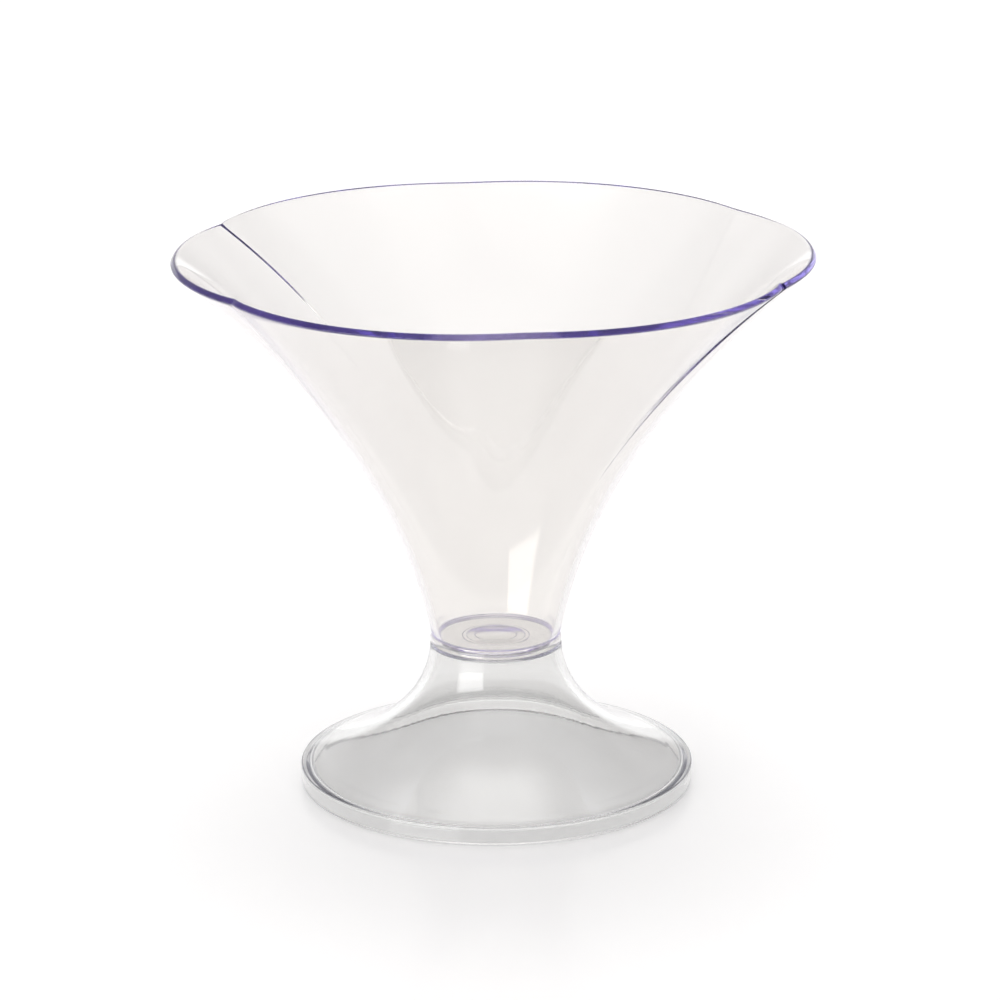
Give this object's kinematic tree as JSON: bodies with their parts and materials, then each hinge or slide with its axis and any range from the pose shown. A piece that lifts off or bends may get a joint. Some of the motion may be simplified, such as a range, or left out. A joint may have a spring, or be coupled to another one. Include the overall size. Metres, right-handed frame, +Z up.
{
  "type": "footed dessert bowl",
  "caption": "Clear plastic footed serving bowl: a lobed funnel bowl pushed onto a hollow flared pedestal foot, for ice cream and desserts.",
  "frame": {"origin": "centre of the foot's resting ring, on the table", "axes": "+Z up along the bowl's axis, +X through the tip of a lobe"},
  "size_m": [0.1202, 0.117, 0.1034],
  "materials": {
    "clear_plastic": "clear injection-moulded polystyrene, polished, violet at its cut edges"
  },
  "bodies": {
    "foot": {"pedestal_foot": "clear_plastic"},
    "bowl": {"bowl": "clear_plastic"}
  },
  "joints": [
    {"name": "bowl_lift", "type": "slide", "parent": "foot", "child": "bowl", "axis": [0, 0, 1], "range_m": [0, 0.01]}
  ]
}
